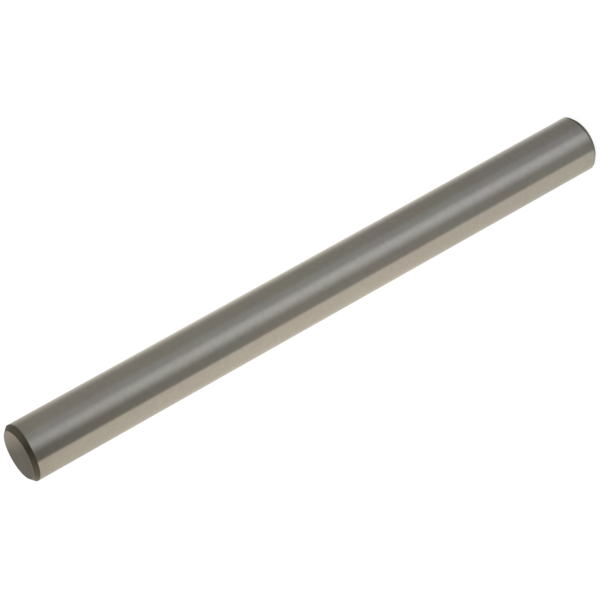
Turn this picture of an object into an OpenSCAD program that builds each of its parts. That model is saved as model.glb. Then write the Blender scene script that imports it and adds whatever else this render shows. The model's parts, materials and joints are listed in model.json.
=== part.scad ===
// Fuel pump pushrod: one solid bar of hardened steel, centreless-ground on the outside,
// squared on both end faces and chamfered at both ends, with the chamfers' edges broken.
// It runs in a bore of the engine block, between the camshaft's eccentric and the pump's lever.
// The origin is the centre of the lower end face, and +Z runs along the rod to the upper one.

/* [Shaft] */
// Length of the rod from face to face
rod_len = 146.05; // [60:0.05:300]
// Diameter of the ground shaft
rod_d = 12.7; // [6:0.1:25]

/* [Ends] */
// Length of each end's chamfer, measured along the rod
chamfer_len = 0.95; // [0.2:0.05:1.5]
// Slope of the chamfer, measured from the rod's axis
chamfer_angle = 45; // [30:1:60]
// Radius that breaks both edges of a chamfer
edge_r = 0.12; // [0.02:0.01:0.2]

/* [Hidden] */

rod_r = rod_d / 2;
// Radius of the flat that each chamfer leaves on its end face, before the edge is broken
face_r = rod_r - chamfer_len * tan(chamfer_angle);
// Straight steps in each broken edge
edge_steps = 5;
// Facets of the preview around the shaft
$fn = 180;

// Centre of the arc that rounds a convex corner of the lower end's profile: edge_r inside both
// of the lines that meet there, whose outward normals point at turn_in and turn_out degrees.
function arc_centre(corner, turn_in, turn_out) =
    let (middle = (turn_in + turn_out) / 2, half = (turn_out - turn_in) / 2)
    corner - edge_r / cos(half) * [cos(middle), sin(middle)];

// Points of that arc, in the same order as the lines.
function broken_edge(corner, turn_in, turn_out) =
    let (centre = arc_centre(corner, turn_in, turn_out))
    [for (i = [0 : edge_steps])
        let (turn = turn_in + (turn_out - turn_in) * i / edge_steps)
        centre + edge_r * [cos(turn), sin(turn)]];

// Outer line of the lower end, from the end face out to the shaft, as [radius, height] points.
// The face looks down (-90 degrees), the shaft looks out (0 degrees), the chamfer lies between.
function end_line() =
    concat(
        broken_edge([face_r, 0], -90, -chamfer_angle),
        broken_edge([rod_r, chamfer_len], -chamfer_angle, 0));

// The other end is the same line, turned over about the middle of the rod.
function turned_over(line) =
    [for (i = [len(line) - 1 : -1 : 0]) [line[i][0], rod_len - line[i][1]]];

// Half section of the rod, on the outer side of its axis.
module half_section() {
    polygon(concat([[0, 0]], end_line(), turned_over(end_line()), [[0, rod_len]]));
}

// The whole rod, turned from one bar.
module pushrod() {
    color([0.56, 0.54, 0.50])
        rotate_extrude()
            half_section();
}

pushrod();
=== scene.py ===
import json
import math
from collections import namedtuple

import bpy
from mathutils import Matrix, Vector


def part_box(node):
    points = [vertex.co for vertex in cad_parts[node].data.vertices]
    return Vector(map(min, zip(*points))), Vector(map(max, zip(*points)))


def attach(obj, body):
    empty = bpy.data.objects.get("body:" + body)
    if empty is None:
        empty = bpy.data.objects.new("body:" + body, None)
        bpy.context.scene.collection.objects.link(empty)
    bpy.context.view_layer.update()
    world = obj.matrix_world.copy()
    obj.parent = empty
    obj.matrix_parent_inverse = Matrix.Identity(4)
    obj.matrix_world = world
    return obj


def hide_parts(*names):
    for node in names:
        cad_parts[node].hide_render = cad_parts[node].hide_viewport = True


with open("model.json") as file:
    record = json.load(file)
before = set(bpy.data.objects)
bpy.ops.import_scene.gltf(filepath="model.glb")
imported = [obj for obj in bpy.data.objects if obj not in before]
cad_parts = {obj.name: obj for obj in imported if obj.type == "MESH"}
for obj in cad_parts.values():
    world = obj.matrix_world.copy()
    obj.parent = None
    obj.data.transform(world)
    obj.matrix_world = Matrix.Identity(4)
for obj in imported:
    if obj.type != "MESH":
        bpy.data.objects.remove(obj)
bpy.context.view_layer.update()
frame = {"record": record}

# A fuel pump pushrod: one bar of steel that stands on its lower end face. All sizes are in
# metres, in the CAD part's frame: the origin is the centre of the lower end face, and +Z runs
# along the rod. Azimuths go round the rod from the side where the camera stands (-Y), towards +X.

# ---------------------------------------------------------------------------- the rod's sizes
MM = 0.001
MICRON = 0.000001
NODE = "pushrod"
mounts = {mount["name"]: mount for mount in frame["record"]["mounts"]}
ROD_RADIUS = mounts["shaft"]["dims"]["r_mm"] * MM
ROD_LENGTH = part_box(NODE)[1].z
CHAMFER_LENGTH = 0.95 * MM
CHAMFER_SLOPE = math.radians(45)
EDGE_RADIUS = 0.12 * MM
FACE_RADIUS = ROD_RADIUS - CHAMFER_LENGTH * math.tan(CHAMFER_SLOPE)

# The mesh is fine enough that neither its outline nor its reflections show a facet.
SEGMENTS = 256
EDGE_STEPS = 8
CHAMFER_STEPS = 4
FACE_STEPS = 8
SHAFT_STEPS = 32

# The side of the square of metal that the flat map covers, and the gaps between what lies on it.
MAP_SIZE = 94 * MM
MAP_GAP = 2 * MM

# --------------------------------------------------------------------------------- the finishes
# Reflectances of the ground steel, of the faced ends, and of dark scale like that of heat
# treatment: in full on a chamfer, and thin where the chamfer meets the end face.
STEEL = (0.56, 0.54, 0.50)
FACED_STEEL = (0.50, 0.475, 0.44)
SCALE = (0.140, 0.128, 0.108)
THIN_SCALE = (0.34, 0.32, 0.285)
# A band of the scale's dark colour reaches over a chamfer's edge on to the shaft, by less and less
# from +X to -X.
DARK_BAND_WIDTH = 0.36 * MM
DARK_BAND_SIDE = (-0.5 * ROD_RADIUS, 0.75 * ROD_RADIUS)
DARK_BAND_SOFTNESS = 0.03 * MM
DARK_BAND_COVER = 0.8
# The last few millimetres of the shaft are darkened a little with the scale's colour.
DULL_REACH = 6.0 * MM
DULL_COVER = 0.11
# An end face's crown: how far it drops at a radius, over the square of that radius in metres.
CROWN = 2.0
# Noise cells per metre, across the rod or its lines and then along it or over its lines: the
# lines of grinding and facing, patches about a millimetre across, and wider clouds.
LINES = (120, 9000)
PATCHES = (750, 900)
CLOUDS = (220, 120)
# How far, as a share, the patches lighten and darken a finish, the clouds shift each of its three
# primaries, and the lines change its roughness.
PATCH_RANGE = 0.03
HUE_RANGE = 0.02
ROUGHNESS_RANGE = 0.1
# The range and the middle of a noise texture's values, near enough.
NOISE_LOW, NOISE_MIDDLE, NOISE_HIGH = 0.3, 0.5, 0.7
# A quarter turn lays the stretch of a finish's gloss across its lines.
GLOSS_TURN = 0.25

# ------------------------------------------------------------------------------- the photograph
CAMERA_LENS = 171.6  # millimetres, on Blender's sensor of 36
CAMERA_ELEVATION = math.radians(23.35)
CAMERA_ROLL = math.radians(-119.22)  # lays the rod across the picture, upper end at lower left
CAMERA_DISTANCE = 0.5955
CAMERA_AIM = Vector((-0.00037, 0, 0.07653))
CAMERA_CLIP = (0.01, 50)

# A ring of the lathe mesh: its radius and height, the direction of the surface's normal as an
# angle above the horizon, and the finish of the strip that leads on to the next ring.
Ring = namedtuple("Ring", "radius height normal finish")
SHAFT, EDGE, CHAMFER, FACE = range(4)


def arc(radius, height, start, end, finish):
    """Rings that round the corner at (radius, height), between normals at start and end."""
    middle = (start + end) / 2
    inset = EDGE_RADIUS / math.cos((end - start) / 2)
    centre_radius = radius - inset * math.cos(middle)
    centre_height = height - inset * math.sin(middle)
    rings = []
    for step in range(EDGE_STEPS + 1):
        turn = start + (end - start) * step / EDGE_STEPS
        rings.append(Ring(centre_radius + EDGE_RADIUS * math.cos(turn),
                          centre_height + EDGE_RADIUS * math.sin(turn), turn, finish))
    return rings


def between(low, high, steps):
    """Rings at even steps strictly between two others, with the lower one's normal and finish."""
    shares = [step / steps for step in range(1, steps)]
    return [Ring(low.radius + (high.radius - low.radius) * share,
                 low.height + (high.height - low.height) * share, low.normal, low.finish)
            for share in shares]


def upper_end():
    """Rings from the top of the ground shaft, over the chamfer, to just short of the axis."""
    outer = arc(ROD_RADIUS, ROD_LENGTH - CHAMFER_LENGTH, 0, CHAMFER_SLOPE, CHAMFER)
    inner = arc(FACE_RADIUS, ROD_LENGTH, CHAMFER_SLOPE, math.pi / 2, EDGE)
    inner[-1] = inner[-1]._replace(finish=FACE)
    axis = Ring(0, ROD_LENGTH, math.pi / 2, FACE)
    chamfer = between(outer[-1], inner[0], CHAMFER_STEPS)
    face = between(inner[-1], axis, FACE_STEPS)
    return outer + chamfer + inner + face


def turned_over(rings):
    """The same end at the bottom of the rod. A strip's finish moves to its other ring."""
    finishes = [SHAFT] + [ring.finish for ring in rings[:-1]]
    flipped = [Ring(ring.radius, ROD_LENGTH - ring.height, -ring.normal, finish)
               for ring, finish in zip(rings, finishes)]
    return flipped[::-1]


def rod_rings():
    """All rings of the rod, from next to the axis below to next to the axis above."""
    top = upper_end()
    bottom = turned_over(top)
    return bottom + between(bottom[-1], top[0], SHAFT_STEPS) + top


def lathe_points(rings):
    """The rings' points and normals, then those of the lower and the upper end face's centre."""
    points, normals = [], []
    for ring in rings:
        for segment in range(SEGMENTS):
            angle = math.tau * segment / SEGMENTS
            out = Vector((math.cos(angle), math.sin(angle), 0))
            points.append(out * ring.radius + Vector((0, 0, ring.height)))
            normals.append(out * math.cos(ring.normal) + Vector((0, 0, math.sin(ring.normal))))
    points += [Vector((0, 0, 0)), Vector((0, 0, ROD_LENGTH))]
    normals += [Vector((0, 0, -1)), Vector((0, 0, 1))]
    return points, normals


def lathe_faces(rings):
    """Each face's corners and finish: strip by strip, then the fans round the two centres."""
    faces, finishes = [], []
    for row, ring in enumerate(rings[:-1]):
        low, high = row * SEGMENTS, (row + 1) * SEGMENTS
        for segment in range(SEGMENTS):
            after = (segment + 1) % SEGMENTS
            faces.append((low + segment, low + after, high + after, high + segment))
            finishes.append(ring.finish)
    last = (len(rings) - 1) * SEGMENTS
    foot = len(rings) * SEGMENTS
    head = foot + 1
    for segment in range(SEGMENTS):
        after = (segment + 1) % SEGMENTS
        faces.append((foot, after, segment))
        faces.append((head, last + segment, last + after))
        finishes += [FACE, FACE]
    return faces, finishes


def map_place(ring, turn, on_shaft, upper):
    """Where the flat map has a point of a ring: the shaft in two blocks, the ends as two discs."""
    girth = math.tau * ROD_RADIUS
    left = MAP_GAP + girth + MAP_GAP if upper else MAP_GAP
    if on_shaft:
        block_foot = ROD_LENGTH / 2 if upper else 0
        return Vector((left + turn * girth, MAP_GAP + ring.height - block_foot)) / MAP_SIZE
    depth = ROD_LENGTH - ring.height if upper else ring.height
    angle = math.tau * (turn if upper else -turn)
    disc_radius = ROD_RADIUS + CHAMFER_LENGTH
    centre = Vector((left + girth / 2, MAP_GAP + ROD_LENGTH / 2 + MAP_GAP + disc_radius))
    out = Vector((math.cos(angle), math.sin(angle)))
    return (centre + out * (ring.radius + depth)) / MAP_SIZE


def add_map(mesh, rings):
    """The flat map that the finishes are baked on to, for the corners of lathe_faces in turn."""
    turns = [(segment / SEGMENTS, (segment + 1) / SEGMENTS) for segment in range(SEGMENTS)]
    places = []
    for ring, after in zip(rings, rings[1:]):
        upper = ring.height + after.height > ROD_LENGTH
        on_shaft = ring.finish == SHAFT
        for start, end in turns:
            for corner, turn in ((ring, start), (ring, end), (after, end), (after, start)):
                places.extend(map_place(corner, turn, on_shaft, upper))
    foot, head = Ring(0, 0, 0, FACE), Ring(0, ROD_LENGTH, 0, FACE)
    for start, end in turns:
        for corner, turn in ((foot, start), (rings[0], end), (rings[0], start)):
            places.extend(map_place(corner, turn, False, False))
        for corner, turn in ((head, start), (rings[-1], start), (rings[-1], end)):
            places.extend(map_place(corner, turn, False, True))
    mesh.uv_layers.new(name="OFBake").data.foreach_set("uv", places)


def lathe(name, rings):
    """A closed solid of revolution, with exact normals and one material index per strip."""
    points, normals = lathe_points(rings)
    faces, finishes = lathe_faces(rings)
    mesh = bpy.data.meshes.new(name)
    mesh.from_pydata(points, [], faces)
    mesh.polygons.foreach_set("material_index", finishes)
    mesh.shade_smooth()
    mesh.normals_split_custom_set_from_vertices(normals)
    add_map(mesh, rings)
    piece = bpy.data.objects.new(name, mesh)
    bpy.context.scene.collection.objects.link(piece)
    return piece


# -------------------------------------------------------------------------------- material nodes
# Places of a colour mix's sockets: the share, the two colours, and the colour that comes out.
MIX_SHARE, MIX_FIRST, MIX_SECOND, MIX_RESULT = 0, 6, 7, 2


def new_tree(owner):
    owner.use_nodes = True
    owner.node_tree.nodes.clear()
    return owner.node_tree


def add(tree, kind, inputs=None, **settings):
    """A node with its settings, and with inputs set to values or linked to sockets."""
    node = tree.nodes.new("ShaderNode" + kind)
    for name, value in settings.items():
        setattr(node, name, value)
    for name, value in (inputs or {}).items():
        socket = node.inputs[name]
        if isinstance(value, bpy.types.NodeSocket):
            tree.links.new(value, socket)
        else:
            socket.default_value = value
    return node


def number(tree, operation, *values):
    """A number worked out from other numbers."""
    return add(tree, "Math", dict(enumerate(values)), operation=operation).outputs[0]


def vector(tree, operation, *values):
    """A vector worked out from other vectors."""
    return add(tree, "VectorMath", dict(enumerate(values)), operation=operation).outputs[0]


def rgba(colour):
    return (*colour, 1.0)


def smooth_step(tree, value, start, end):
    """0 before the start and 1 past the end, with a smooth rise between them."""
    sockets = {"Value": value, "From Min": start, "From Max": end}
    return add(tree, "MapRange", sockets, interpolation_type="SMOOTHSTEP").outputs["Result"]


def mixed(tree, share, first, second):
    """The first colour where the share is 0, the second where it is 1."""
    first, second = [rgba(colour) if isinstance(colour, tuple) else colour
                     for colour in (first, second)]
    sockets = {MIX_SHARE: share, MIX_FIRST: first, MIX_SECOND: second}
    return add(tree, "Mix", sockets, data_type="RGBA").outputs[MIX_RESULT]


def rod_place(tree):
    """The rod's own coordinates."""
    return add(tree, "TexCoord").outputs["Object"]


def cross_place(tree):
    """The rod's own coordinates across its axis alone."""
    return vector(tree, "MULTIPLY", rod_place(tree), (1, 1, 0))


def stretched(tree, across, along):
    """The rod's own coordinates, scaled by one number across the rod and another along it."""
    sockets = {"Vector": rod_place(tree), "Scale": (across, across, along)}
    return add(tree, "Mapping", sockets).outputs["Vector"]


def noise(tree, place, detail=2.0):
    """One noise value, and three of them as a colour."""
    return add(tree, "TexNoise", {"Vector": place, "Scale": 1.0, "Detail": detail}).outputs


def spread(tree, noise_value, low, high):
    """A noise value, taken to the range from low to high."""
    sockets = {"Value": noise_value, "From Min": NOISE_LOW, "From Max": NOISE_HIGH,
               "To Min": low, "To Max": high}
    return add(tree, "MapRange", sockets).outputs["Result"]


def mottled(tree, colour, grain, colour_range):
    """The colour made lighter and darker at random along the lines and in patches, with faint hue
    clouds.
    """
    lined = spread(tree, grain, 1 - colour_range, 1 + colour_range)
    patches = noise(tree, stretched(tree, *PATCHES))["Fac"]
    patched = spread(tree, patches, 1 - PATCH_RANGE, 1 + PATCH_RANGE)
    shaded = vector(tree, "MULTIPLY", colour, number(tree, "MULTIPLY", lined, patched))
    clouds = noise(tree, stretched(tree, *CLOUDS), detail=3.0)["Color"]
    gain = HUE_RANGE / (NOISE_HIGH - NOISE_MIDDLE)
    hue = vector(tree, "MULTIPLY_ADD", clouds, [gain] * 3, [1 - gain * NOISE_MIDDLE] * 3)
    return vector(tree, "MULTIPLY", shaded, hue)


def turned_metal(name, colour, lines, colour_range, roughness, anisotropy, depth,
                 darkening=None, relief=None):
    """Steel cut or ground on a turning axis: fine lines run round the rod's axis."""
    material = bpy.data.materials.new(name)
    tree = new_tree(material)
    grain = noise(tree, lines(tree))["Fac"]
    tinted = mottled(tree, colour, grain, colour_range)
    if darkening:
        tinted = darkening(tree, tinted)
    smoothest, roughest = roughness * (1 - ROUGHNESS_RANGE), roughness * (1 + ROUGHNESS_RANGE)
    height = number(tree, "MULTIPLY", grain, depth)
    if relief:
        height = relief(tree, height)
    bump = add(tree, "Bump", {"Height": height, "Distance": 1.0, "Strength": 1.0})
    around = add(tree, "Tangent", direction_type="RADIAL", axis="Z")
    shader = add(tree, "BsdfPrincipled", {
        "Base Color": tinted, "Metallic": 1.0,
        "Roughness": spread(tree, grain, smoothest, roughest),
        "Anisotropic": anisotropy, "Anisotropic Rotation": GLOSS_TURN,
        "Normal": bump.outputs[0], "Tangent": around.outputs[0]})
    add(tree, "OutputMaterial", {"Surface": shader.outputs[0]})
    return material


def grinding_lines(tree):
    """Lines about a tenth of a millimetre apart that run round the shaft."""
    return stretched(tree, *LINES)


def facing_lines(tree):
    """Rings about a tenth of a millimetre apart on an end face or a chamfer."""
    slow, fine = LINES
    place = vector(tree, "MULTIPLY", rod_place(tree), (slow, slow, 0))
    radius = add(tree, "VectorMath", {0: cross_place(tree)}, operation="LENGTH").outputs["Value"]
    ringed = add(tree, "CombineXYZ", {"Z": number(tree, "MULTIPLY", radius, fine)}).outputs[0]
    return vector(tree, "ADD", place, ringed)


def crowned(tree, height):
    """Adds the slight crown that a facing cut leaves on an end face, as a paraboloid."""
    place = cross_place(tree)
    square = add(tree, "VectorMath", {0: place, 1: place}, operation="DOT_PRODUCT")
    drop = number(tree, "MULTIPLY", square.outputs["Value"], -CROWN)
    return number(tree, "ADD", height, drop)


def darker_shaft_ends(tree, metal):
    """Darkens the shaft's ends with the scale's colour: a little over the last millimetres, and
    more in a band past a chamfer's edge, widest at +X.
    """
    place = add(tree, "SeparateXYZ", {0: rod_place(tree)}).outputs
    side = smooth_step(tree, place["X"], *DARK_BAND_SIDE)
    width = number(tree, "MULTIPLY", side, DARK_BAND_WIDTH)
    end = ROD_LENGTH / 2
    from_middle = number(tree, "ABSOLUTE", number(tree, "SUBTRACT", place["Z"], end))
    reach = number(tree, "ADD", from_middle, width)
    edge = end - CHAMFER_LENGTH
    banded = smooth_step(tree, reach, edge - DARK_BAND_SOFTNESS, edge + DARK_BAND_SOFTNESS)
    dulled = smooth_step(tree, from_middle, end - DULL_REACH, end)
    share = number(tree, "MAXIMUM", number(tree, "MULTIPLY", banded, DARK_BAND_COVER),
                   number(tree, "MULTIPLY", dulled, DULL_COVER))
    return mixed(tree, share, metal, SCALE)


def finish_rod(piece):
    """Gives the rod its finishes, in the order of SHAFT, EDGE, CHAMFER and FACE."""
    finishes = (
        turned_metal("ground_shaft", STEEL, grinding_lines, colour_range=0.015, roughness=0.19,
                     anisotropy=0.35, depth=0.3 * MICRON, darkening=darker_shaft_ends),
        turned_metal("broken_edge", THIN_SCALE, facing_lines, colour_range=0.02, roughness=0.30,
                     anisotropy=0.0, depth=0.3 * MICRON),
        turned_metal("scaled_chamfer", SCALE, facing_lines, colour_range=0.15, roughness=0.42,
                     anisotropy=0.3, depth=1.0 * MICRON),
        turned_metal("faced_end", FACED_STEEL, facing_lines, colour_range=0.03, roughness=0.11,
                     anisotropy=0.5, depth=0.3 * MICRON, relief=crowned),
    )
    for finish in finishes:
        piece.data.materials.append(finish)


# ------------------------------------------------------------------------------------ the studio
# What the steel mirrors: upright cards round the rod, each in front of those before it. A card
# reaches from one azimuth to another, and its edges are soft over so many degrees either way.
# Its light has one brightness near the horizon, another away from it, and a tint.
Light = namedtuple("Light", "near away tint")
Card = namedtuple("Card", "start end start_edge end_edge light")
NEUTRAL = (1.00, 1.00, 1.00)
PALE = (1.04, 1.00, 0.91)
WARM = (1.08, 1.00, 0.87)
ROOM = Light(0.30, 0.31, PALE)
CARDS = (
    # the white table top behind the rod
    Card(137, 214, 36, 36, Light(0.61, 0.97, PALE)),
    # a dark flag beside the camera
    Card(-70, 0, 5, 5, Light(0.11, 0.34, PALE)),
    # a soft grey glow beside the strip light
    Card(10, 55, 5, 15, Light(0.37, 0.41, NEUTRAL)),
    # the strip light itself
    Card(-10, 25, 18, 12, Light(0.46, 0.71, NEUTRAL)),
    # a warm pale wall on the -X side
    Card(-152, -58, 5, 4, Light(0.57, 0.73, WARM)),
)
# The same above the horizon: the walls and the ceiling of the studio, and what differs there.
WALLS = Light(0.48, 0.57, WARM)
WALL_CARDS = (
    # the brighter wall on the -X side
    Card(195, 285, 15, 15, Light(0.83, 0.39, WARM)),
    # a dark gap behind the rod
    Card(179.3, 188, 0.2, 8, Light(0.21, 0.40, WARM)),
    # the dark side of the room, where the camera stands
    Card(-60, 60, 20, 20, Light(0.19, 0.17, PALE)),
)
# Heights of what is mirrored, as the sine of its angle above the horizon. Each pair is where a
# change begins and ends: from near to away, below the horizon and above it, and from the lower
# cards to the walls. Over FOOT the lower cards darken once more, each primary to its share.
LOWER_CARDS_TURN = (-0.28, -0.35)
WALLS_TURN = (0.30, 0.95)
HORIZON = (-0.22, -0.02)
FOOT = (-0.425, -0.475)
FOOT_SHADE = (0.835, 0.855, 0.89)
WHITE = (1.0, 1.0, 1.0)
# The floor glows like a light table, under one wide soft light.
FLOOR_REACH = 6.0
FLOOR_COLOUR = (0.15, 0.15, 0.15)
FLOOR_GLOW = (0.94, 0.94, 0.945)
LAMP_STRENGTH = 0.5
LAMP_SPREAD = math.radians(100)


def card_mask(tree, azimuth, card):
    """1 in front of the card and 0 away from it, with soft edges."""
    start, end = math.radians(card.start), math.radians(card.end)
    start_edge, end_edge = math.radians(card.start_edge), math.radians(card.end_edge)
    middle, half = (start + end) / 2, (end - start) / 2
    turn = number(tree, "WRAP", number(tree, "SUBTRACT", azimuth, middle), math.pi, -math.pi)
    begun = smooth_step(tree, turn, -half - start_edge, -half + start_edge)
    ended = smooth_step(tree, turn, half + end_edge, half - end_edge)
    return number(tree, "MULTIPLY", begun, ended)


def shown(tree, away, light):
    """A light's colour, from near the horizon (0) to away from it (1)."""
    near, far = [tuple(brightness * share for share in light.tint)
                 for brightness in (light.near, light.away)]
    return mixed(tree, away, near, far)


def ring_of_cards(tree, azimuth, away, room, cards):
    """The room's light with the cards in front of it."""
    colour = shown(tree, away, room)
    for card in cards:
        colour = mixed(tree, card_mask(tree, azimuth, card), colour, shown(tree, away, card.light))
    return colour


def studio_world():
    """The studio that the steel mirrors. The camera itself sees plain white."""
    world = bpy.data.worlds.new("studio")
    bpy.context.scene.world = world
    tree = new_tree(world)
    direction = add(tree, "TexCoord").outputs["Generated"]
    along = add(tree, "SeparateXYZ", {0: direction}).outputs
    height = along["Z"]
    front = number(tree, "MULTIPLY", along["Y"], -1.0)
    azimuth = number(tree, "ARCTAN2", along["X"], front)
    lower = ring_of_cards(tree, azimuth, smooth_step(tree, height, *LOWER_CARDS_TURN), ROOM, CARDS)
    foot_shade = mixed(tree, smooth_step(tree, height, *FOOT), WHITE, FOOT_SHADE)
    lower = vector(tree, "MULTIPLY", lower, foot_shade)
    walls = ring_of_cards(tree, azimuth, smooth_step(tree, height, *WALLS_TURN), WALLS, WALL_CARDS)
    mirrored = mixed(tree, smooth_step(tree, height, *HORIZON), lower, walls)
    seen = add(tree, "LightPath").outputs["Is Camera Ray"]
    background = add(tree, "Background", {"Color": mixed(tree, seen, mirrored, WHITE)})
    add(tree, "OutputWorld", {"Surface": background.outputs[0]})


def pale_floor():
    """The material of a sheet that is lit from above and glows by itself."""
    material = bpy.data.materials.new("pale_floor")
    tree = new_tree(material)
    lit = add(tree, "BsdfDiffuse", {"Color": rgba(FLOOR_COLOUR)})
    glow = add(tree, "Emission", {"Color": rgba(FLOOR_GLOW)})
    sheet = add(tree, "AddShader", {0: lit.outputs[0], 1: glow.outputs[0]})
    add(tree, "OutputMaterial", {"Surface": sheet.outputs[0]})
    return material


def add_floor():
    """The floor, which the steel doesn't mirror: the lower cards stand in for it."""
    mesh = bpy.data.meshes.new("floor")
    corners = [(x * FLOOR_REACH, y * FLOOR_REACH, 0)
               for x, y in ((-1, -1), (1, -1), (1, 1), (-1, 1))]
    mesh.from_pydata(corners, [], [(0, 1, 2, 3)])
    mesh.materials.append(pale_floor())
    floor = bpy.data.objects.new("floor", mesh)
    floor.visible_glossy = False
    bpy.context.scene.collection.objects.link(floor)


def add_lamp():
    """One wide soft light from above, which the steel doesn't mirror."""
    light = bpy.data.lights.new("overhead", "SUN")
    light.energy = LAMP_STRENGTH
    light.angle = LAMP_SPREAD
    lamp = bpy.data.objects.new("overhead", light)
    lamp.visible_glossy = False
    bpy.context.scene.collection.objects.link(lamp)


def add_camera():
    """The camera stands at -Y, looks down at the rod, and is rolled about its own axis."""
    data = bpy.data.cameras.new("camera")
    data.lens = CAMERA_LENS
    data.clip_start, data.clip_end = CAMERA_CLIP
    camera = bpy.data.objects.new("camera", data)
    bpy.context.scene.collection.objects.link(camera)
    back = Vector((0, -math.cos(CAMERA_ELEVATION), math.sin(CAMERA_ELEVATION)))
    upright = Matrix.Rotation(math.pi / 2 - CAMERA_ELEVATION, 4, "X")
    roll = Matrix.Rotation(CAMERA_ROLL, 4, "Z")
    camera.matrix_world = Matrix.Translation(CAMERA_AIM + back * CAMERA_DISTANCE) @ upright @ roll
    bpy.context.scene.camera = camera


rod = lathe("pushrod_finished", rod_rings())
finish_rod(rod)
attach(rod, "root")
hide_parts(NODE)

studio_world()
add_floor()
add_lamp()
add_camera()
bpy.context.scene.view_settings.view_transform = "Standard"
